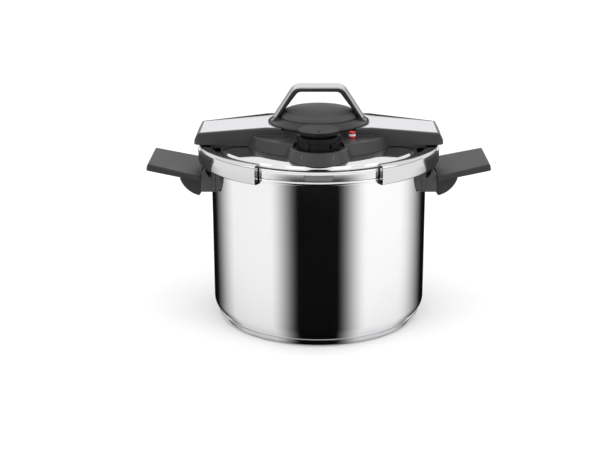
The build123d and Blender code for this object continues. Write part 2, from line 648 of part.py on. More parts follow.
def under_bar():
    """Walls that carry the bar's sides down to the lid, clear of the jaws."""
    low, high = LID_EDGE_Z - 1, BAR_Z + 3
    ring = extrude(bar_plan(1.0, 5.0), high - low) - extrude(bar_plan(1.0 + SHELL, 3.5), high - low)
    room = tube(RIM_R - JAW_TOP_IN - LINING_IN - SLIDE, DECK_R - DRAFT - SHELL, low, high)
    return Pos(0, 0, low) * ring & room


def lid_housing():
    skirt = LID_EDGE_Z
    outer = bar_body(0.0, BAR_Z, BAR_EDGE)
    outer += drafted(DECK_R, DRAFT, skirt, DECK_Z, MOULD_EDGE)
    outer += drafted(POD_R, POD_DRAFT, skirt, DECK_Z - POD_LOW, MOULD_EDGE, 0, DIAL_Y)
    outer += rod(BOSS_R, DECK_Z - 1, WELL_Z)
    outer -= rod(KNOB_R + KNOB_GAP, WELL_Z, WELL_Z + 20)
    hollow = bar_body(SHELL, skirt - 1)
    hollow -= rod(KNOB_R + KNOB_GAP + SHELL, WELL_Z - SHELL, WELL_Z + 20)
    hollow += rod(DECK_R - DRAFT - SHELL, skirt - 1, DECK_Z - SHELL)
    hollow += rod(POD_R - POD_DRAFT - 1.4, skirt - 1, DIAL_Z - 3.0, 0, DIAL_Y)
    hollow += rod(BOSS_R - SHELL, skirt - 1, WELL_Z - SHELL)
    pod_floor = rod(POD_R - POD_DRAFT, DIAL_Z - 3.0, DECK_Z - POD_LOW - MOULD_EDGE, 0, DIAL_Y)
    body = outer - hollow + pod_floor + under_bar()
    body -= rod(POD_R - POD_DRAFT - POD_RIM, DIAL_Z - 0.5, DECK_Z + 1, 0, DIAL_Y)
    body -= rod(KNOB_R + KNOB_GAP, WELL_Z, WELL_Z + 20)
    for x, y in standoffs():
        body += rod(4.5, TOP + 8.6, WELL_Z - SHELL + 0.5, x, y)
        body -= rod(3.6, WELL_Z - 2.3, WELL_Z + 1, x, y)
        body -= rod(2.1, TOP, WELL_Z + 1, x, y)
    body -= rod(HUB_R + SLIDE, WELL_Z - 5, WELL_Z + 1)
    body -= rod(WEIGHT_R + 2.4 + RUN, DIAL_Z - 5, DIAL_Z + 1, 0, DIAL_Y)
    body -= rod(INDICATOR_R + 0.5, DECK_Z - 5, DECK_Z + 1, INDICATOR_X, INDICATOR_Y)
    body -= cone(INDICATOR_R + 0.5, INDICATOR_R + 2.0, DECK_Z - 1.2, DECK_Z + 0.01, INDICATOR_X, INDICATOR_Y)
    body -= slab(-9, 9, DECK_R - 8, DECK_R + 8, TOP + 4, TOP + 7)
    body -= lid_envelope(FIT)
    return body - trim_plates(FIT)


def trim_plates(grow=0.0):
    """Both steel plates let into the bar's upper face; grow makes the pocket that they lie in."""
    end_x = BAR_HALF - BAR_NOSE
    x0, x1 = KNOB_R + KNOB_GAP + TRIM_EDGE * 0.4 - grow, end_x - TRIM_EDGE * 0.8 + grow
    up = 5.0 if grow else 0.0
    face = side_face((x0 - 12, bar_top(x0 - 12) - TRIM_T - grow), (x1, bar_top(x1) - TRIM_T - grow),
                     (x1, bar_top(x1) + up), (x0 - 12, bar_top(x0 - 12) + up))
    plate = across(face, CUT)
    lean = 2.0                                       # room that the bar's tapered sides need
    plan = Pos(0, 0, TOP) * extrude(bar_plan(TRIM_EDGE + lean - grow, 3.0), 50)
    plate = (plate & plan) - rod(x0, TOP, TOP + 50)
    plate -= slab(x1, x1 + 50, -50, 50, TOP, TOP + 50)
    return both_sides(plate)


def trim_plate():
    return trim_plates() & slab(0, 200, -60, 60, TOP, TOP + 60)


# ---- knob -------------------------------------------------------------------------------------------
def arch_line(inset):
    """Outer line of the arch from one foot over the top to the other, pulled in by inset."""
    top, foot = SAUCER_Z + ARCH_H - inset, SAUCER_Z
    lean = inset * 1.22                              # the same inset, measured level across a sloping leg
    return [(ARCH_FOOT - lean, foot), (ARCH_TOP - inset * 0.52, top), (-ARCH_TOP + inset * 0.52, top),
            (-ARCH_FOOT + lean, foot)]


def arch_face(inset, radius, low):
    """The arch filled down to low, its outer face pulled in by inset."""
    line = arch_line(inset)
    face = make_face(Polyline((line[0][0], low), *line, (line[-1][0], low), close=True))
    return Plane.XZ * rounded(face, radius, line[1], line[2])


def arch_gap():
    top = SAUCER_Z + ARCH_H - ARCH_T
    face = make_face(Polyline((40.9, CAP_Z - 0.2), (ARCH_IN_TOP, top), (-ARCH_IN_TOP, top), (-40.9, CAP_Z - 0.2),
                              close=True))
    return across(Plane.XZ * rounded(face, 6.5, (ARCH_IN_TOP, top), (-ARCH_IN_TOP, top)), CUT)


def knob_body():
    saucer = turned((0, KNOB_Z), (KNOB_R - BEAD, KNOB_Z), (KNOB_R, KNOB_Z + BEAD), (KNOB_R, SAUCER_Z - BEAD),
                    (KNOB_R - BEAD, SAUCER_Z), (CAP_R + 1.2, CAP_Z), (0, CAP_Z))
    arch = across(arch_face(ARCH_TRIM, 10.7, SAUCER_Z - 0.5), ARCH_W) - arch_gap()
    arch = fillet([e for e in arch.edges() if abs(e.center().Y) > ARCH_W / 2 - 0.1
                   and e.center().Z > CAP_Z], KNOB_SOFT)
    arch -= rod(CAP_R + FIT, CAP_Z - 0.5, CAP_Z + 4)
    body = saucer + arch
    body += rod(HUB_R, CAM_Z + CAM_T, KNOB_Z + 1)
    body += hexagon(HUB_HEX, CAM_Z, CAM_Z + CAM_T + 1)
    body -= rod(SPINDLE_R + RUN, CAM_Z - 1, CAP_Z + 1)
    body -= rod(12.0, KNOB_Z + 1.4, CAP_Z + 1)
    body -= rod(CAP_R - 2.0, CAP_Z - 1.2, CAP_Z + 1)
    hollow = tube(CAP_R - 2.0, HUB_R + 2.0, KNOB_Z - 1, CAP_Z - 3.2)
    return body - hollow - knob_trim()


def knob_trim():
    """Polished strip over the arch."""
    outer, inner = arch_line(0.0), arch_line(ARCH_TRIM)
    strip = make_face(Polyline(*outer, *reversed(inner), close=True))
    strip = rounded(strip, 12.0, outer[1], outer[2])
    strip = rounded(strip, 10.7, inner[1], inner[2])
    return across(Plane.XZ * strip, ARCH_W - 2 * KNOB_SOFT)


def knob_cap():
    """Cushion-shaped cap inside the arch."""
    edge, crown = CAP_R, CAP_Z + CAP_H
    face = make_face([
        Line((0, CAP_Z - 1.2), (edge - 2.0 - FIT, CAP_Z - 1.2)),
        Line((edge - 2.0 - FIT, CAP_Z - 1.2), (edge - 2.0 - FIT, CAP_Z)),
        Line((edge - 2.0 - FIT, CAP_Z), (edge, CAP_Z)),
        Line((edge, CAP_Z), (edge, CAP_Z + 0.8)),
        ThreePointArc((edge, CAP_Z + 0.8), (edge - 2.9, CAP_Z + 4.4), (edge - 8.5, CAP_Z + 6.6)),
        ThreePointArc((edge - 8.5, CAP_Z + 6.6), (edge * 0.5, crown - 0.35), (edge * 0.2, crown)),
        Line((edge * 0.2, crown), (0, crown)),
        Line((0, crown), (0, CAP_Z - 1.2)),
    ])
    return turned_face(face)


def knob_washer():
    return tube(10.0, SPINDLE_R + FIT, KNOB_Z + 1.4 + SLIDE, KNOB_Z + 2.4)


def knob_nut():
    z = KNOB_Z + 2.4
    return hexagon(13.0, z, CAP_Z - 2.6) - rod(SPINDLE_R, z - 1, CAP_Z)


# ---- dial and pressure valve ------------------------------------------------------------------------
def valve_stud(y):
    """Flanged stud through the lid at (0, y), with a hexagon above it."""
    low = UNDER - SEAL_T - NUT_T - 1.5
    return rod(STUD_R, low, TOP + 0.5, 0, y) + hexagon(STUD_HEX, TOP, TOP + 2.6, 0, y)


def valve_seal(y):
    return tube(SEAL_R, STUD_R + FIT, UNDER - SEAL_T, UNDER, 0, y)


def valve_nut(y):
    low = UNDER - SEAL_T - NUT_T
    return hexagon(NUT_HEX, low, UNDER - SEAL_T, 0, y) - rod(STUD_R, low - 1, UNDER, 0, y)


def valve_nozzle():
    top = DIAL_Z + 4.0
    nozzle = valve_stud(DIAL_Y) + cone(NOZZLE_R, NOZZLE_R - 0.8, TOP + 2, top, 0, DIAL_Y)
    return nozzle - rod(1.5, UNDER - 10, top + 1, 0, DIAL_Y)


def valve_weight():
    low, top = DIAL_Z - 1.0, DIAL_Z + 8.0
    weight = rod(WEIGHT_R, low, top, 0, DIAL_Y)
    return weight - rod(NOZZLE_R + SLIDE, low - 1, DIAL_Z + 4.0 + SLIDE, 0, DIAL_Y)


def valve_spring():
    return coil(5.5, SPRING_WIRE, DIAL_Z + 8.1, DIAL_Z + DIAL_H + DIAL_NECK - 0.1, 4, 0, DIAL_Y)


def dial_ring():
    """Pressure dial: a gripped ring with a pointer, and the sleeve that turns in the pod's floor."""
    top = DIAL_Z + DIAL_H
    body = drafted(DIAL_R, 0.0, DIAL_Z, top, MOULD_EDGE, 0, DIAL_Y)
    body += rod(14.0, top - 1, top + DIAL_NECK, 0, DIAL_Y)
    body += rod(WEIGHT_R + 2.4, DIAL_Z - 2.8, DIAL_Z + 1, 0, DIAL_Y)
    for angle in (-18, 198):
        a = angle * pi / 180
        body -= rod(7.0, DIAL_Z + 2.0, top + 1, (DIAL_R + 4.4) * cos(a), DIAL_Y + (DIAL_R + 4.4) * sin(a))
    for angle in (-58, 90):
        a = angle * pi / 180
        notch = Rot(0, 0, angle) * slab(DIAL_R - 2.0, DIAL_R + 2, -1.2, 1.2, DIAL_Z + 3.0, DIAL_Z + 7.5)
        body -= Pos(0, DIAL_Y, 0) * notch
    body -= Pos(0, DIAL_Y, 0) * tube(DIAL_R + 2, DIAL_R - 0.5, DIAL_Z + 8.0, DIAL_Z + 8.6)
    leaf = make_face([
        ThreePointArc((0, -4.6), (2.5, 1.6), (0, 6.6)),
        ThreePointArc((0, 6.6), (-2.5, 1.6), (0, -4.6)),
    ])
    fin = Plane(origin=(DIAL_R - 2, 0, DIAL_Z + 5.4), x_dir=(0, 1, 0), z_dir=(1, 0, 0)) * leaf
    body += Pos(0, DIAL_Y, 0) * Rot(0, 0, POINTER_AT) * extrude(fin, 3.7)
    return body - rod(WEIGHT_R + 0.4, DIAL_Z - 4, top + DIAL_NECK + 1, 0, DIAL_Y)


def dial_cap():
    low = DIAL_Z + DIAL_H + DIAL_NECK
    face = make_face(Polyline((0, low), (DIAL_CAP_R - 1.8, low), (DIAL_CAP_R, low + 1.6),
                              (DIAL_CAP_R, low + DIAL_CAP_H - 0.6), (DIAL_CAP_R - 0.6, low + DIAL_CAP_H),
                              (0, low + DIAL_CAP_H), close=True))
    cap = Pos(0, DIAL_Y, 0) * turned_face(face)
    line_y, top = DIAL_Y - DIAL_CAP_R + 3.0, low + DIAL_CAP_H
    return cap - slab(-LINE_W / 2, LINE_W / 2, line_y, line_y + LINE_L, top - 0.5, top + 1)


# ---- indicator and relief valve ---------------------------------------------------------------------
def indicator_pin():
    x, y = INDICATOR_X, INDICATOR_Y
    top, band = DECK_Z + INDICATOR_UP, band_z()
    shoulder = TOP + 1.6 + INDICATOR_DROP
    pin = rod(INDICATOR_R, shoulder, top, x, y) + rod(2.4, UNDER - 7.5, shoulder + 1, x, y)
    pin += rod(4.0, UNDER - 7.5, UNDER - 6.0, x, y)
    pin -= tube(INDICATOR_R + 1, INDICATOR_R - 0.5, band, band + 2.0, x, y)
    return pin - cone(0.8, 2.2, top - 1.6, top + 0.01, x, y)


def band_z():
    return DECK_Z + INDICATOR_UP * 0.36


def indicator_band():
    return tube(INDICATOR_R + 0.05, INDICATOR_R - 0.5, band_z(), band_z() + 2.0, INDICATOR_X, INDICATOR_Y)


def indicator_grommet():
    x, y = INDICATOR_X, INDICATOR_Y
    neck = INDICATOR_R + 1.6 - FIT
    ring = rod(neck, UNDER - 1.3, TOP + 1.3, x, y) + rod(neck + 1.6, TOP, TOP + 1.3, x, y)
    ring += rod(neck + 1.6, UNDER - 1.3, UNDER, x, y)
    return ring - rod(2.4 + RUN, UNDER - 3, TOP + 3, x, y)


def relief_top():
    return DECK_Z - SHELL - 0.6


def relief_body():
    body = valve_stud(RELIEF_Y) + rod(6.2, TOP + 2, relief_top(), 0, RELIEF_Y)
    body -= rod(1.8, UNDER - 10, TOP + 5, 0, RELIEF_Y)
    body -= rod(4.0, TOP + 1.5, relief_top() - 0.8, 0, RELIEF_Y)
    return body - slab(-1.2, 1.2, RELIEF_Y, RELIEF_Y + 9, TOP + 4.2, TOP + 6.4)


def relief_plunger():
    low = TOP + 1.5 + FIT
    return rod(3.8, low, low + 1.6, 0, RELIEF_Y) + cone(1.0, 1.5, low - 1.6, low, 0, RELIEF_Y)


def relief_spring():
    return coil(2.8, 0.6, TOP + 3.3, relief_top() - 0.9, 3, 0, RELIEF_Y)


def main():
    os.makedirs(OUT, exist_ok=True)
    single = [
        pot_shell, base_core, base_cap, lid_pan, gasket, guide_plate, housing_screws, spindle, spindle_seal,
        spindle_nut, cam_disc, lid_housing, knob_body, knob_trim, knob_cap, knob_washer, knob_nut,
        valve_nozzle, valve_weight, valve_spring, dial_ring, dial_cap, indicator_pin, indicator_band,
        indicator_grommet, relief_body, relief_plunger, relief_spring,
    ]
    paired = [pot_handle, handle_screw, handle_bracket, handle_guard, jaw_band, jaw_insert, jaw_arm,
              follower_pin, jaw_rivets, trim_plate]
    pieces = {make.__name__: make() for make in single}
    for make in paired:
        right = make()
        pieces["right_" + make.__name__] = right
        pieces["left_" + make.__name__] = mirror(right, about=Plane.YZ)
    for name, y in (("nozzle", DIAL_Y), ("relief", RELIEF_Y)):
        pieces[name + "_seal"] = valve_seal(y)
        pieces[name + "_nut"] = valve_nut(y)
    for name, shape in pieces.items():
        export_step(shape, f"{OUT}/{name}.step")


main()
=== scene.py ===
"""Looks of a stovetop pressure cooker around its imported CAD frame.

Everything is in metres in the frame's own coordinates: +Z up, origin under the pot's centre, -Y to the front.
"""

import bmesh
import bpy
import json
from math import asin, atan2, cos, pi, radians, sin, tan
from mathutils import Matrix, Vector


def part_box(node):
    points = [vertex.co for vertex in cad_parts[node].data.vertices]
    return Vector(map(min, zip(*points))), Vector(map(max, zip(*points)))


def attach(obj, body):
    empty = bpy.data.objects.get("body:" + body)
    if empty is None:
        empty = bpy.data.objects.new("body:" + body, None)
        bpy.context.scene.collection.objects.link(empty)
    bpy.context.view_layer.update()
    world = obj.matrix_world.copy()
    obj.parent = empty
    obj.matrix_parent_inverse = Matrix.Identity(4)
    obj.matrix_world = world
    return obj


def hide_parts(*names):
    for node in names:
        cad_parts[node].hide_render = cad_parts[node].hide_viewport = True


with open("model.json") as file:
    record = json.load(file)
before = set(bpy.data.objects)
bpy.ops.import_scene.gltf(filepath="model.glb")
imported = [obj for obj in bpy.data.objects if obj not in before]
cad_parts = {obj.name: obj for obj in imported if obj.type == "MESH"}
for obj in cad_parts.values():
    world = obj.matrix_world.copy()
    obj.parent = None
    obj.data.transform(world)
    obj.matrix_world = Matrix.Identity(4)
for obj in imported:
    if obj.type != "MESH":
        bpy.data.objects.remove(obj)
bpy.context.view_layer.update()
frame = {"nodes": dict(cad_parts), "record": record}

MM = 0.001

# ---- places taken from the CAD ----------------------------------------------------------------------
RIM_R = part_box("lid_pan")[1].x               # the outside of the lid and of the pot's rolled rim
RIM_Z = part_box("pot_shell")[1].z             # the pot's rim
POT_R = RIM_R - 6.0 * MM                     # the outside of the pot's wall
FOOT_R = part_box("base_cap")[1].x             # the outside of the base
LID_LOW, LID_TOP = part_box("lid_pan")[0].z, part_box("lid_pan")[1].z
EDGE_Z = LID_TOP - 4.2 * MM                  # the lid's flat edge
JAW_LOW, JAW_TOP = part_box("right_jaw_band")[0].z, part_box("right_jaw_band")[1].z
JAW_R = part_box("right_jaw_band")[1].x        # the outside of the jaws

# ---- sheet metal ------------------------------------------------------------------------------------
POT_T = 1.0 * MM                             # thickness of the pot's wall
BASE_H = 6.6 * MM                            # height of the sandwich base
ROLL_H, ROLL = 3.9 * MM, 1.2 * MM            # height of the pot's rolled rim, and its rounding
SKIN_T = 0.8 * MM                            # thickness of the base's pressed skin
LID_T = 1.2 * MM                             # thickness of the lid, and width of its curled hem
WINDOW = 14.0 * MM                           # half the length of the slot in the lid's rim
JAW_T = 1.6 * MM                             # thickness of the jaws
JAW_HALF, NOTCH_HALF = radians(60.4), radians(31.0)    # half the arc of a jaw, and of its notch
NOTCH_H = 6.0 * MM                           # height of what the notch leaves
CORNER = 3.0 * MM                            # rounding of a jaw's outer corners
JAW_END = radians(0.65)                      # arc of the plate at a jaw's end
BURY = 0.8 * MM                              # how far that plate reaches into the channel's sheet
SHARP = radians(28)                          # edges sharper than this stay sharp
ONE_ROUND = 360                              # steps in a full turn
JAW_STEP = radians(1.0)                      # arc of one step along a jaw

# ---- camera -----------------------------------------------------------------------------------------
EYE = (0.0, -1.24186, 0.49442)
LOOK_AT = (0.0, 0.0, 0.110)
LENS, SENSOR = 74.16, 36.0
SHIFT = (-0.0312, -0.0263)                   # the object's place in the photograph's frame

# ---- light ------------------------------------------------------------------------------------------
SKY = 1.14
CARD_DARK, STRIP_DARK = 0.004, 0.02          # colour of the floor card, and of the front and back cards


# ---- materials --------------------------------------------------------------------------------------
class Shader:
    """A material's nodes, with short calls to add and join them."""

    def __init__(self, name):
        self.material = bpy.data.materials.new(name)
        self.material.use_nodes = True
        self.tree = self.material.node_tree
        self.surface = next(n for n in self.tree.nodes if n.type == "BSDF_PRINCIPLED")
        self.place = self.node("ShaderNodeTexCoord").outputs["Object"]

    def node(self, kind, **values):
        made = self.tree.nodes.new(kind)
        for key, value in values.items():
            setattr(made, key, value)
        return made

    def join(self, out, into):
        self.tree.links.new(out, into)

    def paint(self, value, low, high):
        """Drives the surface's colour from low to high by a noise."""
        self.join(self.tint(self.spread(value, 0.0, 1.0), low, high), self.surface.inputs["Base Color"])

    def rough(self, value, low, high):
        """Drives the surface's roughness from low to high by a noise."""
        self.join(self.spread(value, low, high), self.surface.inputs["Roughness"])

    def set(self, **values):
        for key, value in values.items():
            self.surface.inputs[key.replace("_", " ")].default_value = value

    def noise(self, scale, detail=2.0, roughness=0.5, where=None):
        made = self.node("ShaderNodeTexNoise")
        made.inputs["Scale"].default_value = scale
        made.inputs["Detail"].default_value = detail
        made.inputs["Roughness"].default_value = roughness
        self.join(where or self.place, made.inputs["Vector"])
        return made.outputs["Fac"]

    def spread(self, value, low, high):
        """Stretches the middle of a noise, where nearly all of it lies, over low to high."""
        made = self.node("ShaderNodeMapRange")
        for name, number in (("From Min", 0.3), ("From Max", 0.7), ("To Min", low), ("To Max", high)):
            made.inputs[name].default_value = number
        self.join(value, made.inputs["Value"])
        return made.outputs["Result"]

    def tint(self, value, low, high):
        made = self.node("ShaderNodeMix", data_type="RGBA")
        made.inputs[6].default_value = (*low, 1)
        made.inputs[7].default_value = (*high, 1)
        self.join(value, made.inputs[0])
        return made.outputs[2]

    def bump(self, height, depth, strength):
        """Relief of the given depth, added to any normal that the surface already has."""
        made = self.node("ShaderNodeBump")
        made.inputs["Strength"].default_value = strength
        made.inputs["Distance"].default_value = depth
        self.join(height, made.inputs["Height"])
        before = self.surface.inputs["Normal"].links
        if before:
            self.join(before[0].from_socket, made.inputs["Normal"])
        self.join(made.outputs["Normal"], self.surface.inputs["Normal"])

    def soften(self, radius):
        """Edges catch the light as if they were rounded by radius."""
        made = self.node("ShaderNodeBevel", samples=6)
        made.inputs["Radius"].default_value = radius
        self.join(made.outputs["Normal"], self.surface.inputs["Normal"])

    def rings(self, scale):
        """Coordinates that make noise run in rings about Z, as a spun or turned surface is brushed."""
        split = self.node("ShaderNodeSeparateXYZ")
        self.join(self.place, split.inputs[0])
        flat = self.node("ShaderNodeCombineXYZ")
        self.join(split.outputs["X"], flat.inputs["X"])
        self.join(split.outputs["Y"], flat.inputs["Y"])
        length = self.node("ShaderNodeVectorMath", operation="LENGTH")
        self.join(flat.outputs[0], length.inputs[0])
        angle = self.node("ShaderNodeMath", operation="ARCTAN2")
        self.join(split.outputs["Y"], angle.inputs[0])
        self.join(split.outputs["X"], angle.inputs[1])
        whole = self.node("ShaderNodeCombineXYZ")
        for value, into, size in ((length.outputs["Value"], "X", scale), (angle.outputs[0], "Y", 1.2),
                                  (split.outputs["Z"], "Z", scale)):
            grown = self.node("ShaderNodeMath", operation="MULTIPLY")
            grown.inputs[1].default_value = size
            self.join(value, grown.inputs[0])
            self.join(grown.outputs[0], whole.inputs[into])
        return whole.outputs[0]


def polished_steel(name, tone, rough):
    """Bright stainless with faint rings from spinning and polishing, and a few handling marks."""
    s = Shader(name)
    s.set(Metallic=1.0)
    fine = s.noise(1.0, 3.0, 0.6, s.rings(4200.0))
    smear = s.noise(18.0, 4.0, 0.6)
    s.paint(smear, tuple(t * 0.97 for t in tone), tone)
    s.rough(smear, rough * 0.85, rough * 1.2)
    s.bump(fine, 0.002 * MM, 0.3)
    return s.material


def satin_steel(name, tone, rough):
    """Stainless brushed along X."""
    s = Shader(name)
    s.set(Metallic=1.0)
    along = s.node("ShaderNodeMapping")
    along.inputs["Scale"].default_value = (30.0, 3000.0, 3000.0)
    s.join(s.place, along.inputs["Vector"])
    hair = s.noise(1.0, 4.0, 0.65, along.outputs[0])
    s.paint(hair, tuple(t * 0.9 for t in tone), tone)
    s.rough(hair, rough * 0.8, rough * 1.25)
    s.bump(hair, 0.004 * MM, 0.5)
    return s.material


def moulded_plastic(name, tone, rough, grain=0.03, size=1500.0, edge=0.7 * MM, shine=0.30):
    """Fine-grained black moulding, a little paler and duller where hands rub it."""
    s = Shader(name)
    s.set(IOR=1.5, Specular_IOR_Level=shine)
    s.soften(edge)
    grains = s.noise(size, 2.0, 0.6)
    wear = s.noise(22.0, 5.0, 0.6)
    pale = tuple(min(1.0, t * 1.35 + 0.004) for t in tone)
    s.paint(wear, tone, pale)
    s.rough(wear, rough * 0.9, rough * 1.12)
    s.bump(grains, grain * MM, 0.6)
    return s.material


def soft_rubber(name, tone, rough):
    """Matt rubber with a dusty bloom."""
    s = Shader(name)
    s.set(IOR=1.42)
    dust = s.noise(300.0, 4.0, 0.7)
    s.paint(dust, tone, tuple(t * 1.2 for t in tone))
    s.rough(dust, rough * 0.9, rough * 1.1)
    s.bump(dust, 0.01 * MM, 0.4)
    return s.material


def gloss_plastic(name, tone):
    """Bright, shiny moulding."""
    s = Shader(name)
    s.set(IOR=1.5, Coat_Weight=0.5, Coat_Roughness=0.05)
    cloud = s.noise(160.0, 3.0)
    s.paint(cloud, tuple(t * 0.85 for t in tone), tone)
    s.rough(cloud, 0.16, 0.24)
    return s.material


def paint_frame():
    """Gives every CAD node the material of its slot in the record, and returns the materials by slot."""
    steel, dim = (0.80, 0.80, 0.81), (0.55, 0.55, 0.56)
    made = {
        "pot_steel": polished_steel("pot_steel", steel, 0.07),
        "base_steel": polished_steel("base_steel", (0.70, 0.70, 0.71), 0.12),
        "lid_steel": polished_steel("lid_steel", (0.70, 0.70, 0.71), 0.06),
        "jaw_steel": polished_steel("jaw_steel", (0.60, 0.60, 0.61), 0.12),
        "trim_steel": satin_steel("trim_steel", (0.68, 0.68, 0.70), 0.24),
        "arch_steel": satin_steel("arch_steel", (0.46, 0.46, 0.47), 0.12),
        "bracket_steel": satin_steel("bracket_steel", dim, 0.3),
        "inner_steel": satin_steel("inner_steel", dim, 0.32),
        "core_alloy": satin_steel("core_alloy", (0.7, 0.71, 0.72), 0.4),
        "housing_black": moulded_plastic("housing_black", (0.021, 0.021, 0.022), 0.32,
                                         edge=1.2 * MM, shine=0.38),
        "handle_black": moulded_plastic("handle_black", (0.018, 0.018, 0.019), 0.45, edge=1.2 * MM),
        "guard_grey": moulded_plastic("guard_grey", (0.050, 0.050, 0.053), 0.45),
        "knob_black": moulded_plastic("knob_black", (0.009, 0.009, 0.010), 0.32, edge=0.9 * MM),
        "cap_black": moulded_plastic("cap_black", (0.027, 0.027, 0.028), 0.55, 0.08, 900.0, shine=0.50),
        "dial_black": moulded_plastic("dial_black", (0.005, 0.005, 0.006), 0.36, edge=0.6 * MM, shine=0.10),
        "insert_black": moulded_plastic("insert_black", (0.013, 0.013, 0.014), 0.36, edge=0.4 * MM),
        "gasket_grey": soft_rubber("gasket_grey", (0.13, 0.135, 0.13), 0.45),
        "seal_black": soft_rubber("seal_black", (0.03, 0.03, 0.03), 0.5),
        "indicator_red": gloss_plastic("indicator_red", (0.55, 0.012, 0.015)),
        "indicator_white": gloss_plastic("indicator_white", (0.85, 0.85, 0.83)),
    }
    for part in frame["record"]["subparts"]:
        node = frame["nodes"][part["node"]]
        node.data.materials.clear()
        node.data.materials.append(made[part["material_slot"]])
    return made


# ---- turned and pressed metal -----------------------------------------------------------------------
def curved(points, steps=7):
    """A closed (radius, z) outline from (radius, z, rounding) points, its corners replaced by arcs."""
    line, count = [], len(points)
    for i, (x, z, r) in enumerate(points):
        if r <= 0:
            line.append((x, z))
            continue
        before, after = points[i - 1], points[(i + 1) % count]
        a = Vector((before[0] - x, before[1] - z))
        b = Vector((after[0] - x, after[1] - z))
        half = a.angle(b) / 2
        reach = min(r / tan(half), a.length * 0.49, b.length * 0.49)
        start, end, corner = a.normalized() * reach, b.normalized() * reach, Vector((x, z))
        for k in range(steps + 1):
            t = k / steps
            line.append(tuple(corner + start * (1 - t) ** 2 + end * t ** 2))
    return line


def lathe(name, line, angles, closed=True):
    """A mesh swept about Z from an outline and a list of angles; open sweeps get flat ends."""
    verts = [(r * sin(a), -r * cos(a), z) for a in angles for r, z in line]
    n, m = len(line), len(angles)
    faces = []
    for i in range(m if closed else m - 1):
        for k in range(n):
            a, b = i * n + k, i * n + (k + 1) % n
            c, d = ((i + 1) % m) * n + (k + 1) % n, ((i + 1) % m) * n + k
            faces.append((a, d, c, b))
    if not closed:
        faces.append(tuple(range(n)))
        faces.append(tuple(reversed(range((m - 1) * n, m * n))))
    mesh = bpy.data.meshes.new(name)
    mesh.from_pydata(verts, [], faces)
    mesh.validate()
    return mesh


def finish_piece(mesh, body, slot_name, made, stands_for):
    """Smooths and paints a mesh, and sets it on its body in place of one CAD node."""
    bm = bmesh.new()
    bm.from_mesh(mesh)
    bmesh.ops.remove_doubles(bm, verts=bm.verts, dist=0.002 * MM)
    bmesh.ops.recalc_face_normals(bm, faces=bm.faces)
    bm.to_mesh(mesh)
    bm.free()
    mesh.shade_smooth()
    mesh.set_sharp_from_angle(angle=SHARP)
    mesh.materials.append(made[slot_name])
    piece = bpy.data.objects.new(mesh.name, mesh)
    bpy.context.collection.objects.link(piece)
    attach(piece, body)
    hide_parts(stands_for)


def turn_angles(extra=()):
    """Evenly spaced angles once round, with extra ones let in."""
    even = {round(2 * pi * i / ONE_ROUND - pi, 7) for i in range(ONE_ROUND)}
    return sorted(even | {round(a, 7) for a in extra})


def make_pot(made):
    """Drawn pot with a rounded foot and a rolled rim, and the pressed skin of its sandwich base."""
    inside, hem, curl = POT_R - POT_T, RIM_Z - ROLL_H, POT_R + 2.2 * MM
    line = curved([
        (0, BASE_H, 0), (FOOT_R - 0.7 * MM, BASE_H, 1.0 * MM), (POT_R, BASE_H + 9.4 * MM, 14 * MM),
        (POT_R, RIM_Z - ROLL, 0.4 * MM), (RIM_R - ROLL, RIM_Z - ROLL, 0),
        (RIM_R - ROLL, hem + ROLL, 0), (curl, hem + ROLL, 0),
        (curl, hem, 0.4 * MM), (RIM_R, hem, ROLL), (RIM_R, RIM_Z, ROLL),
        (inside, RIM_Z, 1.6 * MM), (inside, BASE_H + POT_T, 9.0 * MM), (0, BASE_H + POT_T, 0)], 12)
    finish_piece(lathe("pot_wall", line, turn_angles()), "pot", "pot_steel", made, "pot_shell")
    skin = curved([(0, 0, 0), (FOOT_R - 4.1 * MM, 0, 0.6 * MM), (FOOT_R - 1.2 * MM, 2.2 * MM, 3 * MM),
                   (FOOT_R, BASE_H, 0), (FOOT_R - 0.9 * MM, BASE_H, 0), (FOOT_R - 4.4 * MM, SKIN_T, 1.5 * MM),
                   (0, SKIN_T, 0)], 8)
    finish_piece(lathe("base_skin", skin, turn_angles()), "pot", "base_steel", made, "base_cap")


def make_lid(made):
    """Pressed lid: flat middle, slope, step, flat edge, rounded rim with a curled hem and a slot in front."""
    step = RIM_R - 13.0 * MM                   # where the slope drops to the edge
    flat, mid = step - 14.0 * MM, LID_TOP - 2.0 * MM
    skirt, low, high = RIM_R - LID_T, LID_LOW + 0.5 * MM, EDGE_Z - 2.75 * MM
    line = curved([
        (0, LID_TOP, 0), (flat, LID_TOP, 60 * MM), (step, mid, 0.8 * MM), (step + 1.6 * MM, EDGE_Z, 0.8 * MM),
        (RIM_R, EDGE_Z, 3.2 * MM), (RIM_R, high, 0), (RIM_R, low, 0), (RIM_R, LID_LOW, 0.35 * MM),
        (skirt - LID_T, LID_LOW, 0.4 * MM), (skirt - LID_T, LID_LOW + 1.0 * MM, 0),
        (skirt, LID_LOW + 1.02 * MM, 0), (skirt, high, 0), (skirt, EDGE_Z - LID_T, 1.4 * MM),
        (step + 0.6 * MM, EDGE_Z - LID_T, 0), (step - 0.9 * MM, mid - LID_T, 0),
        (flat, LID_TOP - LID_T, 60 * MM), (0, LID_TOP - LID_T, 0)], 9)
    half = asin(WINDOW / RIM_R)
    mesh = lathe("lid_pressing", line, turn_angles((-half, half)))
    cut_window(mesh, half, low, high)
    finish_piece(mesh, "lid", "lid_steel", made, "lid_pan")


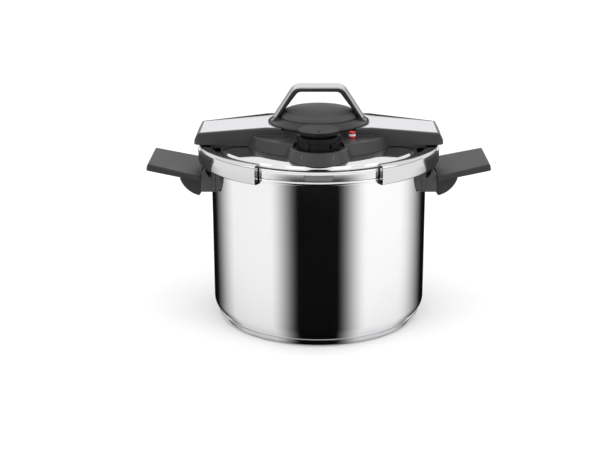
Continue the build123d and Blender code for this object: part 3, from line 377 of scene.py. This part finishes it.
def cut_window(mesh, half, low, high):
    """Takes the slot out of the lid's rim, from -half to half round the front and from low to high."""
    bm = bmesh.new()
    bm.from_mesh(mesh)
    inside = []
    for face in bm.faces:
        c = face.calc_center_median()
        upright = abs(face.normal.z) < 0.2 and c.to_2d().length > RIM_R - 2.0 * MM
        if upright and abs(atan2(c.x, -c.y)) < half and low < c.z < high:
            inside.append(face)
    bmesh.ops.delete(bm, geom=inside, context="FACES")
    edges = [e for e in bm.edges if e.is_boundary and e.verts[0].co.y < 0 and all(
        abs(atan2(v.co.x, -v.co.y)) < half + 0.001 and low - MM < v.co.z < high + MM for v in e.verts)]
    bmesh.ops.bridge_loops(bm, edges=edges)
    bm.to_mesh(mesh)
    bm.free()


def make_jaws(made):
    """The steel of the jaws: a channel with rounded corners, notched in its middle and closed at its ends."""
    wall, lip, over = JAW_R - JAW_T, RIM_R - 3.5 * MM, RIM_R - 3.0 * MM
    under, notch = JAW_TOP - JAW_T, JAW_TOP - NOTCH_H
    inner = 1.2 * MM                           # rounding inside the corners
    tall = curved([(over, JAW_TOP, 0.5 * MM), (JAW_R, JAW_TOP, CORNER), (JAW_R, JAW_LOW, CORNER),
                   (lip, JAW_LOW, 0.4 * MM), (lip, JAW_LOW + JAW_T, 0.3 * MM),
                   (wall, JAW_LOW + JAW_T, inner), (wall, under, inner), (over, under, 0.4 * MM)], 8)
    short = curved([(over, JAW_TOP, 0.5 * MM), (JAW_R, JAW_TOP, CORNER), (JAW_R, notch, 0.4 * MM),
                    (wall, notch, 0.3 * MM), (wall, under, inner), (over, under, 0.4 * MM)], 8)
    spans = ((tall, -JAW_HALF, -NOTCH_HALF), (short, -NOTCH_HALF, NOTCH_HALF), (tall, NOTCH_HALF, JAW_HALF))
    for side, facing in (("right", pi / 2), ("left", -pi / 2)):
        mesh = bpy.data.meshes.new(side + "_jaw_steel")
        bm = bmesh.new()
        for line, start, end in spans + closed_ends(wall):
            count = max(8, int((end - start) / JAW_STEP))
            angles = [facing + start + (end - start) * i / count for i in range(count + 1)]
            part = lathe("span", line, angles, closed=False)
            bm.from_mesh(part)
            bpy.data.meshes.remove(part)
        bm.to_mesh(mesh)
        bm.free()
        finish_piece(mesh, side + "_jaw", "jaw_steel", made, side + "_jaw_band")


def closed_ends(wall):
    """The plates that close both ends of a jaw's channel, as (outline, start, end) spans."""
    inner, outer, low, top = RIM_R + 1.6 * MM, wall + BURY, JAW_LOW + BURY, JAW_TOP - BURY
    plate = [(inner, low), (outer, low), (outer, top), (inner, top)]
    return ((plate, -JAW_HALF, JAW_END - JAW_HALF), (plate, JAW_HALF - JAW_END, JAW_HALF))


# ---- marks on the pod -------------------------------------------------------------------------------
def mark(text, turn, made):
    """A raised figure on the pod's front wall, at an angle round from the front, positive to the right."""
    low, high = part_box("dial_ring")            # the dial's ring shares the pod's axis
    y, radius = (low.y + high.y) / 2, 30.4 * MM
    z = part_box("lid_housing")[0].z + 8.0 * MM
    curve = bpy.data.curves.new("pod_figure_" + text, "FONT")
    curve.body = text
    curve.size, curve.extrude = 5.0 * MM, 0.45 * MM
    curve.align_x, curve.align_y = "CENTER", "CENTER"
    figure = bpy.data.objects.new(curve.name, curve)
    bpy.context.collection.objects.link(figure)
    figure.location = (radius * sin(turn), y - radius * cos(turn), z)
    figure.rotation_euler = (radians(83), 0, turn)
    curve.materials.append(made["gasket_grey"])
    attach(figure, "lid")


# ---- floor, light and camera ------------------------------------------------------------------------
def set_floor():
    """A wide pale sheet just under the cooker."""
    half = 12.0
    mesh = bpy.data.meshes.new("floor")
    mesh.from_pydata([(-half, -half, 0), (half, -half, 0), (half, half, 0), (-half, half, 0)], [], [(0, 1, 2, 3)])
    floor = bpy.data.objects.new("floor", mesh)
    bpy.context.collection.objects.link(floor)
    floor.location.z = -0.2 * MM
    s = Shader("floor")
    s.set(Roughness=0.85, Specular_IOR_Level=0.15)
    s.paint(s.noise(0.7, 2.0), (0.93, 0.93, 0.93), (0.95, 0.95, 0.95))
    mesh.materials.append(s.material)


def area(name, place, target, size, power):
    """A rectangular white lamp that faces its target."""
    light = bpy.data.lights.new(name, "AREA")
    light.shape = "RECTANGLE"
    light.size, light.size_y = size
    light.energy = power
    lamp = bpy.data.objects.new(name, light)
    bpy.context.collection.objects.link(lamp)
    lamp.location = place
    aim(lamp, target)


def aim(thing, target):
    """Turns a lamp or camera to face a point."""
    thing.rotation_euler = (Vector(target) - Vector(thing.location)).to_track_quat("-Z", "Y").to_euler()


def set_sky():
    """Even white light from all round."""
    world = bpy.data.worlds.new("sky")
    bpy.context.scene.world = world
    world.use_nodes = True
    tree = world.node_tree
    back = next(n for n in tree.nodes if n.type == "BACKGROUND")
    back.inputs["Color"].default_value = (1, 1, 1, 1)
    back.inputs["Strength"].default_value = SKY


def card_shade(turn):
    """How dark, from 0 to 1, the floor is that the pot's wall mirrors at an angle round from the front."""
    side, degrees_round = (1 if turn > 0 else -1), abs(turn) * 180 / pi
    middle = fade(degrees_round, 26.0, 9.0) if side > 0 else fade(degrees_round, 28.0, 10.0)
    edge = fade(degrees_round, 45.0, 72.0)
    veil = 0.08 if side < 0 else 0.0
    return max(middle, edge, veil)


def fade(value, none, full):
    """Rises smoothly from 0 where value is none to 1 where it is full."""
    t = min(max((value - none) / (full - none), 0.0), 1.0)
    return t * t * (3 - 2 * t)


def card_material(name, dark):
    """A dark, matt surface that the mesh's own shade values fade into nothing."""
    material = bpy.data.materials.new(name)
    material.use_nodes = True
    tree = material.node_tree
    tree.nodes.clear()
    out = tree.nodes.new("ShaderNodeOutputMaterial")
    mix = tree.nodes.new("ShaderNodeMixShader")
    clear = tree.nodes.new("ShaderNodeBsdfTransparent")
    shade = tree.nodes.new("ShaderNodeBsdfDiffuse")
    shade.inputs["Color"].default_value = (dark, dark, dark, 1)
    value = tree.nodes.new("ShaderNodeAttribute")
    value.attribute_name = "shade"
    tree.links.new(value.outputs["Fac"], mix.inputs["Fac"])
    tree.links.new(clear.outputs[0], mix.inputs[1])
    tree.links.new(shade.outputs[0], mix.inputs[2])
    tree.links.new(mix.outputs[0], out.inputs["Surface"])
    return material


def stage_card(name, verts, faces, shades, dark):
    """A staged card that only reflections show; shades has 0 to 1 for each vertex."""
    mesh = bpy.data.meshes.new(name)
    mesh.from_pydata(verts, [], faces)
    layer = mesh.attributes.new("shade", "FLOAT", "POINT")
    layer.data.foreach_set("value", shades)
    card = bpy.data.objects.new(name, mesh)
    bpy.context.collection.objects.link(card)
    mesh.materials.append(card_material(name, dark))
    for rays in ("camera", "diffuse", "shadow", "transmission", "volume_scatter"):
        setattr(card, "visible_" + rays, False)


def set_reflection_card():
    """Soft dark shapes on the floor round the pot, which its wall mirrors as bands.

    Every point lies on the way that a ray from EYE takes once the wall has turned it back; near is under the pot.
    """
    near, reach, edge, steps = -13 * MM, 0.64, 0.015, 240
    verts, faces, shades = [], [], []
    for i in range(steps + 1):
        turn = radians(-89.5 + 179.0 * i / steps)
        x, y = POT_R * sin(turn), -POT_R * cos(turn)
        way = 2 * turn + atan2(x, -EYE[1] + y)
        for far, strength in ((near, 1.0), (reach, 1.0), (reach + edge, 0.0)):
            verts.append((x + far * sin(way), y - far * cos(way), 0.3 * MM))
            shades.append(card_shade(turn) * strength)
    for i in range(steps):
        for k in (0, 1):
            a, b = 3 * i + k, 3 * (i + 1) + k
            faces.append((a, a + 1, b + 1, b))
    stage_card("floor_card", verts, faces, shades, CARD_DARK)


def set_front_card():
    """A low dark strip round the front, which rolled edges mirror as thin dark lines."""
    radius, steps = 2.6, 48
    rows = ((0.0, 0.7), (0.3, 0.7), (0.6, 0.0))
    verts, shades = [], []
    for z, shade in rows:
        for i in range(steps + 1):
            turn = radians(-110 + 220 * i / steps)
            verts.append((radius * sin(turn), -radius * cos(turn), z))
            shades.append(shade)
    row = steps + 1
    faces = [(k * row + i, k * row + i + 1, (k + 1) * row + i + 1, (k + 1) * row + i)
             for k in (0, 1) for i in range(steps)]
    stage_card("front_card", verts, faces, shades, STRIP_DARK)


def set_back_card():
    """A low dark strip behind the cooker, which the sloping steel above the lid mirrors."""
    y, half, high = 1.3, 1.6, 0.42
    rows = ((0.0, 0.65), (high * 0.4, 0.6), (high, 0.0))
    verts = [(x, y, z) for z, _ in rows for x in (-half, half)]
    shades = [shade for _, shade in rows for _ in (0, 1)]
    stage_card("back_card", verts, [(0, 1, 3, 2), (2, 3, 5, 4)], shades, STRIP_DARK)


def set_camera():
    """The photograph's viewing angle."""
    data = bpy.data.cameras.new("camera")
    data.sensor_width, data.lens = SENSOR, LENS
    data.shift_x, data.shift_y = SHIFT
    data.clip_start, data.clip_end = 0.05, 60.0
    camera = bpy.data.objects.new("camera", data)
    bpy.context.collection.objects.link(camera)
    camera.location = EYE
    aim(camera, LOOK_AT)
    bpy.context.scene.camera = camera


set_camera()
set_floor()
set_sky()
set_reflection_card()
set_front_card()
set_back_card()
area("top_light", (0.0, -0.1, 1.8), (0, 0, 0.1), (1.8, 1.8), 4.0)
area("left_light", (-1.5, -0.9, 1.1), (0, 0, 0.12), (1.2, 1.4), 2.5)
area("right_light", (1.5, -0.9, 1.1), (0, 0, 0.12), (1.2, 1.4), 4.0)
bpy.context.scene.view_settings.view_transform = "Standard"
paints = paint_frame()
make_pot(paints)
make_lid(paints)
make_jaws(paints)
mark("1", radians(-32), paints)
mark("2", radians(27), paints)
